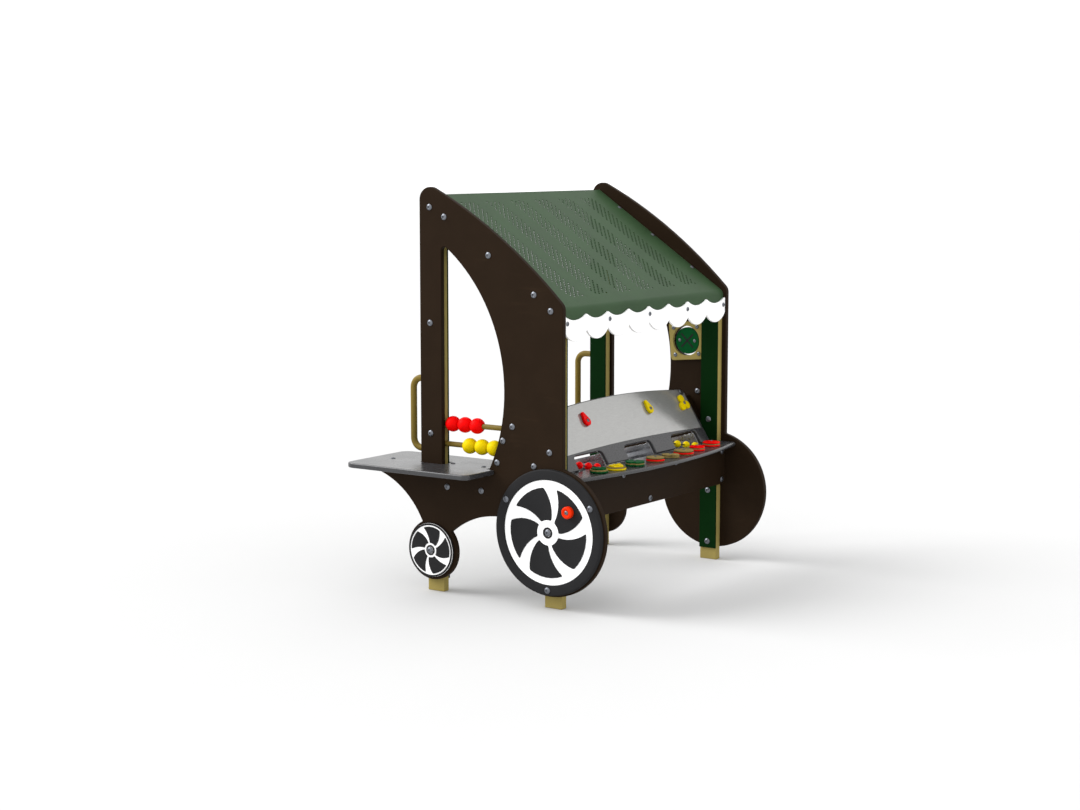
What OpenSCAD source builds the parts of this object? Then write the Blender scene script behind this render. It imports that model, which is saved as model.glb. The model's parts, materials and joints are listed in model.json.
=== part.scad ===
// Market-stall play cart: two brown side panels with wheel-shaped feet, a
// sloping green roof, a bowed counter with turning play food, a tilted display
// board, an abacus and a side table. Millimetres, +Z up, front towards -Y.

/* [Overall] */
// distance between the outer faces of the two side panels
overall_w = 1250; // [1000:10:1500]
// height from the floor to the highest point of the side panels
overall_h = 1600; // [1300:10:1900]
// distance between the centres of the front and rear posts
post_pitch = 565; // [450:5:700]

/* [Panels and posts] */
// thickness of a side panel
panel_t = 22; // [15:1:30]
// thickness of a post, across the cart
post_t = 32; // [24:1:44]
// depth of a post, front to back
post_d = 79; // [60:1:100]
// thickness of the green facing on a post
facing_t = 8; // [5:1:14]
// height of the bare foot below the facings and the discs
foot_h = 50; // [40:1:80]

/* [Roof] */
// slope of the roof sheet in degrees
roof_pitch = 33.9; // [28:0.1:38]
// thickness of the roof sheet
roof_t = 3; // [2:0.5:5]
// thickness of the scalloped valance
valance_t = 10; // [6:1:15]
// number of scallops along the valance
scallops = 8; // [4:2:12]

/* [Counter and board] */
// height of the counter top
counter_h = 512; // [440:1:600]
// thickness of the counter
counter_t = 15; // [12:1:24]
// thickness of the side table
plank_t = 20; // [15:1:28]
// how far the counter's front edge bows forward at its middle
counter_bow = 68; // [20:1:100]
// tilt of the display board from the horizontal in degrees
board_tilt = 58.5; // [50:0.5:70]
// thickness of the display board
board_t = 16; // [12:1:20]
// height of the display board along its slope
board_h = 281; // [240:1:320]

/* [Side table] */
// width of the table across the panel
table_w = 394; // [300:2:460]
// length of the table, front to back
table_l = 605; // [500:5:660]

/* [Wheels] */
// outer diameter of the big tyre ring
tyre_d = 486; // [400:2:520]
// thickness of the big tyre ring
tyre_t = 18; // [12:1:26]
// diameter of the small wheel
small_d = 216; // [170:2:240]
// diameter of the red turning knob
knob_d = 46; // [36:1:60]

/* [Play pieces] */
// diameter of an abacus bead
bead_d = 62; // [50:1:68]
// diameter of an abacus rod
rod_d = 21; // [14:1:26]
// diameter of a ball in a tray
ball_d = 30; // [24:1:34]
// diameter of the grab handle tube
tube_d = 26; // [18:1:32]

/* [Hidden] */

$fn = 96;
brown = [0.16, 0.12, 0.10];
tan_c = [0.56, 0.48, 0.27];
green = [0.06, 0.17, 0.08];
roof_c = [0.16, 0.32, 0.17];
grey = [0.30, 0.30, 0.31];
black = [0.14, 0.14, 0.145];
white = [0.95, 0.95, 0.95];
red = [0.90, 0.03, 0.03];
yellow = [0.92, 0.80, 0.02];
steel = [0.62, 0.62, 0.64];

fit = 0.05;                       // radial running clearance on every pin
gap = 0.5;                        // clearance between sliding faces
half_w = overall_w/2;             // outer face of a panel
in_x = half_w - panel_t;          // inner face of a panel
post_in = in_x - post_t;          // inner face of a post
face_in = post_in - facing_t;     // inner face of a facing
post_x = in_x - post_t/2;         // middle of a post, across
front_y = -(post_d/2 + 18.5);     // front edge of the panels
rear_y = post_pitch + post_d/2 + 15.5;  // rear edge of the panels
big_z = 300;                      // centre height of the big disc
big_r = big_z - foot_h;
small_z = foot_h + 120;           // centre height of the small disc
small_r = small_z - foot_h;
table_z = counter_h + 5;          // top of the side table
deck_z = table_z - plank_t;       // underside of the side table

// roof plane: height of the sheet's top over y
roof_end = [post_pitch + 17, overall_h - 31];
function roof_z(y) = roof_end[1] - (roof_end[0] - y)*tan(roof_pitch);

// rounded corners of the panel and the arc that joins them
c1 = [rear_y - 50, overall_h - 50];
c2 = [front_y + 40, roof_z(front_y + 40) - 21];
arc_r = 2230;
function meet(a, ra, b, rb) = let (d = norm(b - a), u = (b - a)/d,
    m = (ra*ra - rb*rb + d*d)/(2*d), h = sqrt(ra*ra - m*m))
    a + m*u + h*[-u[1], u[0]];
arc_c = meet(c1, arc_r - 50, c2, arc_r - 40);
function along(a, b, l) = a + l*(b - a)/norm(b - a);

// crescent opening in the panel
strip_y = post_pitch - post_d/2 - 10.5;  // inner edge of the rear strip
open_r = 680;
open_c = [strip_y + 380, overall_h*0.5125];
tip_c = [strip_y - 15, open_c[1] + sqrt(pow(open_r - 15, 2) - pow(395, 2))];
function open_y(z) = open_c[0] - sqrt(open_r*open_r - pow(z - open_c[1], 2));

// shift that puts the origin under the middle of the whole cart
knob_h = 22;
table_x = 13 - half_w;             // middle of the table, across
x_low = table_x - table_w/2;
x_high = half_w + tyre_t + knob_h + 4;
table_y1 = rear_y + 245;          // rear edge of the table
table_y0 = table_y1 - table_l;
shift = [-(x_low + x_high)/2, -(table_y1 - big_r)/2, 0];

module placed() translate(shift) children();
// turns a (y, z) outline into a slab that starts at x and is t thick
module slab(x, t) translate([x, 0, 0]) rotate([90, 0, 90])
    linear_extrude(t) children();
// turns an (x, z) outline into a slab from y to y + t
module front_slab(y, t) translate([0, y + t, 0]) rotate([90, 0, 0])
    linear_extrude(t) children();
module both() { children(); mirror([1, 0, 0]) children(); }
// lays its children on a vertical face, their +Z along +X (side 1) or -X (-1)
module on_x(side, p) translate(p) rotate([0, side*90, 0]) children();
module on_front(p) translate(p) rotate([90, 0, 0]) children();
// puts its children in the display board's own frame: X, then up the slope
board_y = -14;
board_z = counter_h + 2;
module on_board() translate([0, board_y, board_z])
    rotate([board_tilt, 0, 0]) children();
function board_yz(s, n) = [board_y + s*cos(board_tilt) - n*sin(board_tilt),
    board_z + s*sin(board_tilt) + n*cos(board_tilt)];

module head(r = 12.5, h = 5) rotate_extrude($fn = 24)
    polygon([[0, 0], [r, 0], [r, 0.3*h], [0.7*r, h], [0, h]]);

// ---- side panels ----
module panel_2d(wing) {
    difference() {
        union() {
            intersection() {
                translate(arc_c) circle(arc_r, $fn = 720);
                polygon([[rear_y, deck_z - 30], [rear_y, c1[1]],
                    along(arc_c, c1, arc_r), along(arc_c, c1, arc_r + 60),
                    along(arc_c, c2, arc_r + 60), along(arc_c, c2, arc_r),
                    [front_y, c2[1]], [front_y, deck_z - 30]]);
            }
            translate(c1) circle(50);
            translate(c2) circle(40);
            difference() {
                translate([front_y, small_z]) square([
                    (wing ? table_y1 - 21 : rear_y) - front_y,
                    deck_z - small_z]);
                translate([table_y1 + 73, deck_z - 379]) circle(360, $fn = 180);
                translate([0.416*post_pitch, deck_z - 542])
                    circle(380, $fn = 180);
            }
            translate([0, big_z]) circle(big_r, $fn = 180);
            translate([post_pitch, small_z]) circle(small_r, $fn = 120);
        }
        opening_2d();
    }
}
module opening_2d() {
    intersection() {
        translate(open_c) circle(open_r, $fn = 360);
        polygon([[strip_y, deck_z], [strip_y, tip_c[1]],
            along(open_c, tip_c, open_r), [strip_y - 200, tip_c[1]],
            [0, tip_c[1]], [0, deck_z]]);
    }
    translate(tip_c) circle(15);
}
module panel_near() color(brown) placed() slab(-half_w, panel_t)
    panel_2d(true);
module panel_far() color(brown) placed() difference() {
    slab(in_x, panel_t) panel_2d(false);
    translate([in_x - 1, spin_y, spin_z]) rotate([0, 90, 0])
        cylinder(r = spin_hole, h = panel_t + 2);
}

// ---- posts ----
module post_front_2d() polygon([[-post_d/2, 0], [post_d/2, 0],
    [post_d/2, roof_z(post_d/2) - 12], [-post_d/2, roof_z(-post_d/2) - 12]]);
post_top = overall_h - 56;
module post_rear_2d() translate([post_pitch, 0]) polygon([[-post_d/2, 0],
    [post_d/2, 0], [post_d/2, post_top], [-5, post_top],
    [-post_d/2, roof_z(post_pitch - post_d/2) - 12]]);
module post(side, rear) slab(side < 0 ? -in_x : post_in, post_t)
    if (rear) post_rear_2d(); else post_front_2d();
module post_front_near() color(tan_c) placed() post(-1, false);
module post_front_far() color(tan_c) placed() post(1, false);
module post_rear_near() color(tan_c) placed() post(-1, true);
module post_rear_far() color(tan_c) placed() post(1, true);
module facing(rear) slab(face_in, facing_t) intersection() {
    if (rear) post_rear_2d(); else post_front_2d();
    translate([-post_d, foot_h]) square([post_pitch + 2*post_d, overall_h]);
}
module post_facings() color(green) placed() both() {
    facing(false);
    facing(true);
}

// ---- roof ----
fold_y = -31;                     // where the sheet starts to bend down
skirt_y = -(post_d/2 + roof_t);   // front face of the skirt
module roof_2d() {
    k = roof_t/cos(roof_pitch);
    e = roof_end[0];
    polygon([[e, roof_z(e)], [fold_y, roof_z(fold_y)],
        [fold_y - 7, roof_z(fold_y) - 5.5], [skirt_y, roof_z(fold_y) - 14],
        [skirt_y, roof_z(fold_y) - 82], [skirt_y + roof_t, roof_z(fold_y) - 82],
        [skirt_y + roof_t, roof_z(fold_y) - 14.8],
        [fold_y - 5, roof_z(fold_y) - 8.2],
        [fold_y + 1, roof_z(fold_y) - k + 0.5], [e, roof_z(e) - k]]);
}
module roof_sheet() color(roof_c) placed() {
    slab(-in_x, 2*in_x) roof_2d();
    both() slab(in_x - roof_t, roof_t) polygon([
        [roof_end[0] - 8, roof_z(roof_end[0] - 8) - 2],
        [post_d/2 + 4, roof_z(post_d/2 + 4) - 2],
        [post_d/2 + 4, roof_z(post_d/2 + 4) - 55],
        [post_pitch - post_d/2 - 4, roof_z(post_pitch - post_d/2 - 4) - 55],
        [post_pitch - post_d/2 - 4, roof_z(post_pitch - post_d/2 - 4) - 8],
        [roof_end[0] - 8, roof_z(roof_end[0] - 8) - 8]]);
    slab(-face_in + 4, 2*face_in - 8) translate([roof_end[0] - roof_t,
        roof_z(roof_end[0]) - 30]) square([roof_t, 29]);
}
scallop_w = 2*in_x/scallops;
val_z = roof_z(fold_y) - 33;      // height of the upper cusps
module valance_2d() {
    r = pow(scallop_w, 2)/8/20 + 10;          // upper edge dips 20
    rb = pow(scallop_w, 2)/8/38 + 19;         // lower edge hangs 38
    difference() {
        translate([-in_x, val_z - 62]) square([2*in_x, 62]);
        for (i = [0 : scallops - 1]) translate([-in_x + (i + 0.5)*scallop_w,
            val_z - 20 + r]) circle(r, $fn = 120);
    }
    for (i = [0 : scallops - 1]) intersection() {
        translate([-in_x + (i + 0.5)*scallop_w, val_z - 100 + rb])
            circle(rb, $fn = 120);
        translate([-in_x + i*scallop_w, val_z - 101])
            square([scallop_w, 39]);
    }
}
module valance() color(white) placed()
    front_slab(skirt_y - valance_t, valance_t) valance_2d();

// ---- counter ----
apron_t = 20;
apron_y = -(post_d/2 + apron_t);
apron_z = counter_h - 182;
module apron() color(brown) placed() translate([-in_x, apron_y, apron_z])
    cube([2*in_x, apron_t, counter_h - counter_t - apron_z]);
counter_y = -112;                 // front edge at the counter's ends
bow_r = (in_x*in_x + counter_bow*counter_bow)/2/counter_bow;
module counter() color(grey) placed()
    translate([0, 0, counter_h - counter_t]) linear_extrude(counter_t) {
        intersection() {
            translate([0, counter_y - counter_bow + bow_r])
                circle(bow_r, $fn = 720);
            translate([-in_x, counter_y - counter_bow - 1])
                square([2*in_x, -post_d/2 - counter_y + counter_bow + 1]);
        }
        translate([-face_in + 2, -post_d/2 - 1])
            square([2*face_in - 4, post_d/2 + 1 - 16.5]);
    }

// ---- display board ----
board_x = face_in - 4;            // half length of the board at its foot
arch_r = (pow(board_x - 14, 2) + 31*31)/62;
module board_2d(inset = 0) intersection() {
    translate([0, board_h - inset - arch_r]) circle(arch_r, $fn = 720);
    polygon([[-board_x + inset, 0], [board_x - inset, 0],
        [board_x - 13 - inset, board_h - 48], [board_x - 30 - inset, board_h - 22],
        [board_x - 60 - inset, board_h + 1],
        [-board_x + 60 + inset, board_h + 1],
        [-board_x + 30 + inset, board_h - 22],
        [-board_x + 13 + inset, board_h - 48]]);
}
open_pitch = 0.645*board_x;       // distance between the tray openings
open_dx = 22;                     // the openings sit a little to the far side
open_w = 206;
open_h = 64;
module round_box(w, h, r) {
    square([w - 2*r, h], center = true);
    square([w, h - 2*r], center = true);
    for (x = [-1, 1], y = [-1, 1]) translate([x*(w/2 - r), y*(h/2 - r)])
        circle(r, $fn = 48);
}
module display_board() color(grey) placed() on_board()
    translate([0, 0, -board_t]) difference() {
        linear_extrude(board_t) difference() {
            board_2d();
            for (i = [-1 : 1]) translate([i*open_pitch + open_dx, 30]) {
                round_box(open_w, open_h, 24);
                translate([-open_w/2, -33]) square([open_w, 33]);
            }
        }
    }
sheet_t = 2;
module display_sheet() color([0.72, 0.72, 0.72]) placed() on_board()
    linear_extrude(sheet_t) difference() {
        intersection() {
            board_2d(5);
            translate([-board_x + 25, 60]) square([2*board_x - 50, board_h]);
        }
        translate([0, 79 - 11000]) circle(11000, $fn = 1440);
        for (s = [-1, 1]) translate([s*(board_x - 42), board_h - 38])
            circle(20, $fn = 48);
    }
module board_cleats() color(brown) placed() both() {
    a = board_yz(104, -board_t);
    b = board_yz(225, -board_t);
    slab(face_in - 36, in_x - face_in + 36)
        polygon([a, b, [b[0] + 14, b[1]], [b[0] + 14, a[1]]]);
}

// ---- trays behind the openings ----
tray_y0 = -16.5;                  // front face, against the counter
tray_y1 = 74;
tray_z = counter_h - 28;
tray_top = counter_h + 28;        // top of the rear wall
tray_w = open_w - 16;
cheek_n = -10;                    // cheeks stop this far inside the board
module tray(x) translate([x - tray_w/2, 0, 0]) {
    translate([0, tray_y0, tray_z]) cube([tray_w, tray_y1 - tray_y0, 2]);
    translate([0, tray_y0, tray_z]) cube([tray_w, 2, 27]);
    translate([0, tray_y1 - 2, tray_z]) cube([tray_w, 2, tray_top - tray_z]);
    for (e = [0, tray_w - 2]) slab(e, 2) polygon([[tray_y0 + 1, tray_z + 1],
        board_yz(-6, cheek_n), board_yz(54, cheek_n),
        [tray_y1 - 1, tray_top], [tray_y1 - 1, tray_z + 1]]);
}
module trays() color(steel) placed()
    for (i = [-1 : 1]) tray(i*open_pitch + open_dx);
wire_r = 2.5;
wire_tilt = 11.4;                 // fall of a wire towards the far side
wire_s = 14.3;                    // its height up the board, at mid opening
wire_n = -19;                     // its place behind the board's face
module wire_place(side) on_board()
    translate([side*open_pitch + open_dx, wire_s, wire_n])
    rotate([0, 90, -wire_tilt]) children();
wire_l = (tray_w - 4)/cos(wire_tilt) - 2*wire_r*tan(wire_tilt);
module tray_wires() color(steel) placed() for (s = [-1, 1]) wire_place(s)
    cylinder(r = wire_r, h = wire_l, center = true, $fn = 32);
module ball_row(mid, pitch) for (i = [-1 : 1])
    translate([0, 0, mid + i*pitch]) difference() {
        sphere(d = ball_d, $fn = 48);
        cylinder(r = wire_r + fit, h = ball_d + 2, center = true, $fn = 32);
    }
module balls_red() color(red) placed() wire_place(-1) ball_row(-8, 56);
module balls_yellow() color(yellow) placed() wire_place(1) ball_row(12, 62);

// ---- side table ----
front_r = 28;                     // corner radii of the table
back_r = 45;
module table_2d() difference() {
    translate([table_x, table_y0]) {
        for (x = [-1, 1]) {
            translate([x*(table_w/2 - front_r), front_r])
                circle(front_r, $fn = 64);
            translate([x*(table_w/2 - back_r), table_l - back_r])
                circle(back_r, $fn = 64);
        }
        translate([-table_w/2, front_r])
            square([table_w, table_l - front_r - back_r]);
        translate([front_r - table_w/2, 0])
            square([table_w - 2*front_r, table_l - back_r]);
        translate([back_r - table_w/2, 0])
            square([table_w - 2*back_r, table_l]);
    }
    translate([-half_w - 1, strip_y - 1])
        square([half_w - face_in + 2, rear_y - strip_y + 2]);
    translate([-half_w - 1, table_y0 - 1])
        square([panel_t + 2, open_y(deck_z) - table_y0 + 2]);
}
module side_table() color(grey) placed() translate([0, 0, deck_z])
    linear_extrude(plank_t) table_2d();
module table_rail() color(brown) placed()
    translate([-in_x, strip_y - 215, deck_z - 92])
        cube([post_t, 200, 92]);

// ---- abacus ----
rod_z = [deck_z + 178, deck_z + 97];     // upper, lower
block_y = open_y(rod_z[0]) - 6;          // rear face of the block
post_face = post_pitch - post_d/2;
module abacus_block() color(tan_c) placed()
    translate([-in_x, block_y - 75, rod_z[1] - 30])
        cube([post_t, 75, rod_z[0] - rod_z[1] + 60]);
module abacus_rods() color(tan_c) placed() for (z = rod_z)
    translate([-post_x, block_y, z]) rotate([-90, 0, 0])
        cylinder(d = rod_d, h = post_face - block_y);
bead_l = bead_d - 4;
bead_pitch = bead_l + 1;
module bead(y, z) placed() translate([-post_x, y, z]) rotate([90, 0, 0])
    difference() {
        intersection() {
            sphere(d = bead_d);
            cube([bead_d + 1, bead_d + 1, bead_l], center = true);
        }
        cylinder(r = rod_d/2 + fit, h = bead_l + 2, center = true, $fn = 64);
    }
bead_reach = sqrt(pow(bead_d/2, 2) - pow(post_t/2, 2));  // along the rod
red_y = strip_y - bead_reach - gap;
yellow_y = open_y(rod_z[1]) + bead_d/2 + 3;
module bead_red_1() color(red) bead(red_y, rod_z[0]);
module bead_red_2() color(red) bead(red_y - bead_pitch, rod_z[0]);
module bead_red_3() color(red) bead(red_y - 2*bead_pitch, rod_z[0]);
module bead_yellow_1() color(yellow) bead(yellow_y, rod_z[1]);
module bead_yellow_2() color(yellow) bead(yellow_y + bead_pitch, rod_z[1]);
module bead_yellow_3() color(yellow) bead(yellow_y + 2*bead_pitch, rod_z[1]);

// ---- grab handles ----
loop_out = 79;                    // reach of the loop behind the post
loop_r = 40;                      // bend radius of the tube
loop_z = [deck_z + 70, deck_z + 350];
module handle(side) placed() translate([side*post_x, post_pitch + post_d/2, 0]) {
    for (z = loop_z) translate([0, 0, z]) rotate([-90, 0, 0])
        cylinder(d = tube_d, h = loop_out - loop_r);
    translate([0, loop_out, loop_z[0] + loop_r])
        cylinder(d = tube_d, h = loop_z[1] - loop_z[0] - 2*loop_r);
    translate([0, loop_out - loop_r, loop_z[1] - loop_r]) rotate([90, 0, 90])
        rotate_extrude(angle = 90) translate([loop_r, 0]) circle(d = tube_d);
    translate([0, loop_out - loop_r, loop_z[0] + loop_r]) rotate([90, 0, 90])
        rotate_extrude(angle = -90) translate([loop_r, 0]) circle(d = tube_d);
}
module handle_near() color(tan_c) handle(-1);
module handle_far() color(tan_c) handle(1);

// ---- wheels: built for +X outwards, at the panel's outer face ----
axle_r = 8;
hub_r = 0.835*tyre_d/2;           // joint between the tyre and the disc
module wheel_at(side, y, z) placed() translate([side*half_w, y, z])
    mirror([side < 0 ? 1 : 0, 0, 0]) rotate([0, 90, 0]) children();
module ring_2d() polygon([[hub_r + 0.6, 0], [tyre_d/2, 0],
    [tyre_d/2, tyre_t - 7], [tyre_d/2 - 2, tyre_t - 3],
    [tyre_d/2 - 6, tyre_t], [hub_r + 5, tyre_t], [hub_r + 0.6, tyre_t - 4]]);
module tyre(side) wheel_at(side, 0, big_z)
    rotate_extrude($fn = 180) ring_2d();
module tyre_near() color(black) tyre(-1);
module tyre_far() color(black) tyre(1);
disc_t = 11;
blade_t = 2.5;
module wheel(side) wheel_at(side, 0, big_z) translate([0, 0, 2])
    difference() {
        union() {
            cylinder(r = hub_r - 0.6, h = disc_t, $fn = 180);
            cylinder(r = 0.2*tyre_d/2, h = disc_t + blade_t);
        }
        translate([0, 0, -1]) cylinder(r = axle_r + fit, h = 30, $fn = 48);
    }
module wheel_near() color(white) wheel(-1);
module wheel_far() color(white) wheel(1);
function polar(r, t) = [r*cos(t), r*sin(t)];
// a point at radius r, t degrees from the front horizontal towards the top
function spoke(r, t) = [-r*sin(t), -r*cos(t)];
// fan blade from radius a to b; its two edges sweep from e[0] to e[1] degrees
function sweep_pts(a, b, e) = [for (i = [0 : 6]) let (k = i/6)
    spoke(a + (b - a)*k, e[0] + (e[1] - e[0])*pow(k, 1.15))];
module blade_2d(a, b, e1, e2) polygon(concat(sweep_pts(a, b, e1),
    [for (i = [1 : 5]) spoke(b, e1[1] + (e2[1] - e1[1])*i/6)],
    [for (i = [6 : -1 : 0]) sweep_pts(a, b, e2)[i]],
    [for (i = [5 : -1 : 1]) spoke(a, e1[0] + (e2[0] - e1[0])*i/6)]));
module blades(a, b, e1, e2, t) for (i = [0 : 4]) rotate(72*i)
    linear_extrude(t) blade_2d(a, b, e1, e2);
module big_blades(side) wheel_at(side, 0, big_z)
    translate([0, 0, 2 + disc_t]) blades(0.202*tyre_d/2, 0.716*tyre_d/2,
        [73, 97], [127, 149], blade_t);
module blades_near() color(black) big_blades(-1);
module blades_far() color(black) big_blades(1);
knob_rad = 0.545*tyre_d/2;         // distance of the knob from the axle
knob_ang = 42.5;
module knob(side) wheel_at(side, 0, big_z)
    translate(concat(spoke(knob_rad, knob_ang),
        2 + disc_t + blade_t)) rotate_extrude($fn = 64)
            polygon([[0, 0], [knob_d/2 - 3, 0], [knob_d/2, 4],
                [knob_d/2, knob_h - 8], [knob_d/2 - 4, knob_h - 3],
                [knob_d/2 - 9, knob_h - 2], [9, knob_h - 2],
                [9, x_high - half_w - 2 - disc_t - blade_t - 1],
                [0, x_high - half_w - 2 - disc_t - blade_t]]);
module knob_near() color(red) knob(-1);
module knob_far() color(red) knob(1);
module small_wheel(side) wheel_at(side, post_pitch, small_z) difference() {
    union() {
        translate([0, 0, 1]) cylinder(d = small_d, h = 12);
        translate([0, 0, 13]) rotate_extrude() translate([0.93*small_d/2, 0])
            square([0.07*small_d/2, 3]);
        translate([0, 0, 13]) cylinder(r = 0.19*small_d/2, h = 3);
        translate([0, 0, 13]) blades(0.26*small_d/2, 0.87*small_d/2,
            [37, 61], [94, 112], 2);
    }
    cylinder(r = axle_r + fit, h = 60, center = true, $fn = 48);
}
module small_wheel_near() color(black) small_wheel(-1);
module small_wheel_far() color(black) small_wheel(1);
module axle(side, y, z, l) wheel_at(side, y, z) {
    cylinder(r = axle_r, h = l, $fn = 48);
    translate([0, 0, l]) head(14, 5);
}
module axle_bolts() color(steel) for (s = [-1, 1]) {
    axle(s, 0, big_z, 2 + disc_t + blade_t + gap);
    axle(s, post_pitch, small_z, 16 + gap);
}

// ---- turning shapes on the display board ----
pin_r = 5;
turn_t = 12;
turn_s = board_h - 91;            // height of the turners up the board
turn_x = [-0.457*board_x, 0.384*board_x];
drop_c = [-6, 31];                // centre of the narrow end
drop_r = [20, 9];                 // radii of the wide and the narrow end
module drop_2d() {
    a = acos((drop_r[0] - drop_r[1])/norm(drop_c));
    n = [for (t = [-a, a]) atan2(drop_c[1], drop_c[0]) + t];
    circle(drop_r[0], $fn = 64);
    translate(drop_c) circle(drop_r[1], $fn = 48);
    polygon([polar(drop_r[0] - 0.05, n[0]),
        drop_c + polar(drop_r[1] - 0.05, n[0]),
        drop_c + polar(drop_r[1] - 0.05, n[1]), polar(drop_r[0] - 0.05, n[1])]);
}
module turner(x) placed() on_board() translate([x, turn_s, sheet_t + gap])
    difference() {
        linear_extrude(turn_t) drop_2d();
        cylinder(r = pin_r + fit, h = 60, center = true, $fn = 32);
    }
module turner_red() color(red) turner(turn_x[0]);
module turner_yellow() color(yellow) turner(turn_x[1]);
trio_x = 0.859*board_x;
module turner_trio() color(yellow) placed() on_board()
    translate([trio_x, turn_s - 5, sheet_t + gap]) difference() {
        linear_extrude(turn_t) {
            for (a = [95, 215, 335]) translate(polar(21, a)) circle(18, $fn = 64);
            circle(12, $fn = 48);
        }
        cylinder(r = pin_r + fit, h = 60, center = true, $fn = 32);
    }
module pivot(x, s) on_board() translate([x, s, sheet_t]) {
    cylinder(r = pin_r, h = turn_t + 2*gap, $fn = 32);
    translate([0, 0, turn_t + 2*gap]) head(7.5, 3);
}
module pivot_bolts() color(steel) placed() {
    pivot(turn_x[0], turn_s);
    pivot(turn_x[1], turn_s);
    pivot(trio_x, turn_s - 5);
}

// ---- flip disc in the far panel ----
spin_z = overall_h*0.582;
spin_y = (post_d/2 + open_y(spin_z))/2 - 2;
spin_hole = 64;
spin_r = 57;
spin_lean = 5;                    // the plate leans back with the opening's edge
spin_t = 16;
plate_t = 12;
spin_x = in_x + (panel_t - plate_t)/2;
module spinner_plate() color(tan_c) placed()
    slab(in_x - plate_t, plate_t) translate([spin_y, spin_z]) difference() {
        rotate(-spin_lean) round_box(164, 164, 14);
        circle(spin_hole);
    }
module spinner_rod() color(steel) placed() translate([spin_x, spin_y, spin_z])
    rotate([90, 0, 0])
        cylinder(r = 3, h = 2*spin_hole, center = true, $fn = 32);
module spinner_disc() color([0.03, 0.30, 0.14]) placed()
    translate([spin_x, spin_y, spin_z]) difference() {
        union() {
            rotate([0, 90, 0]) cylinder(r = spin_r, h = spin_t, center = true);
            for (s = [-1, 1], e = [-1, 1]) translate([e*spin_t/2, s*36, 0])
                rotate([0, e*90, 0]) head(7.5, 3);
        }
        rotate([90, 0, 0])
            cylinder(r = 3 + fit, h = 2*spin_r + 2, center = true, $fn = 32);
        for (e = [-1, 1], a = [-45, 45]) translate([e*spin_t/2, 0, 0])
            rotate([a, 0, 0]) cube([3, 5, 80], center = true);
    }

// ---- play food on the counter ----
food_t = 18;
// places along the counter as a share of its half length
food_u = [-0.70, -0.532, -0.328, -0.095, 0.10, 0.284, 0.488, 0.733];
function food_x(i) = food_u[i]*in_x;
function food_y(i) = -118 + 61*pow(food_u[i], 2);
module food_at(i) placed()
    translate([food_x(i), food_y(i), counter_h + gap]) difference() {
        children();
        translate([0, 0, -1]) cylinder(r = pin_r + fit, h = 60, $fn = 32);
    }
module layered(r, bulge) {
    cylinder(r1 = r - 2, r2 = r, h = 3);
    translate([0, 0, 3]) cylinder(r = r, h = 4);
    translate([0, 0, 7]) cylinder(r = r - bulge, h = 5);
    translate([0, 0, 12]) cylinder(r = r, h = 3);
    translate([0, 0, 15]) cylinder(r1 = r, r2 = r - 3, h = 3);
}
module food_lettuce() color(green) food_at(0) layered(36, 1.5);
module food_cheese() color(yellow) food_at(1) {
    cylinder(r = 41, h = 6);
    translate([0, 0, 6]) cylinder(r = 38, h = 5);
    translate([0, 0, 11]) cylinder(r = 34, h = 5);
    translate([0, 0, 16]) linear_extrude(5)
        polygon([[-8, -30], [26, -14], [30, 10], [4, 16], [-14, 0]]);
}
module food_pepper() color(green) food_at(2) difference() {
    layered(38, 1.5);
    translate([-40, -15, -1]) cylinder(r = 12, h = 30, $fn = 48);
}
module food_burger() color(tan_c) food_at(3) layered(36, -1.5);
module food_bean() color(tan_c) food_at(4) rotate(-59) linear_extrude(15)
    difference() {
    union() {
        translate([-12, 0]) circle(22, $fn = 64);
        translate([14, 4]) circle(21, $fn = 64);
        translate([-12, 0]) square([28, 24]);
    }
    translate([2, -27]) circle(11, $fn = 48);
}
module food_sandwich() color(tan_c) food_at(5) layered(40, -1.5);
module food_dome(r) {
    layered(r, 1.5);
    translate([0, 0, 18]) cylinder(r1 = r - 3, r2 = r*0.7, h = 2.5);
}
module food_tomato() color(red) food_at(6) food_dome(33);
module food_apple() color(red) food_at(7) food_dome(37);
food_h = [18, 21, 18, 18, 15, 18, 20.5, 20.5];
module food_pins() color(steel) placed() for (i = [0 : 7])
    translate([food_x(i), food_y(i), counter_h]) {
        cylinder(r = pin_r, h = food_h[i] + 2*gap, $fn = 32);
        translate([0, 0, food_h[i] + 2*gap]) head(8, 3);
    }

// ---- button heads of the fixed fasteners ----
// (y, z) of the heads on the outer face of both panels
post_heads = [[-2, roof_z(3) - 38], [post_pitch + 5, overall_h - 78],
    [post_pitch + 5, deck_z + 574], [post_pitch + 5, deck_z + 138],
    [3, deck_z + 108], [75, deck_z + 49]];
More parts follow.
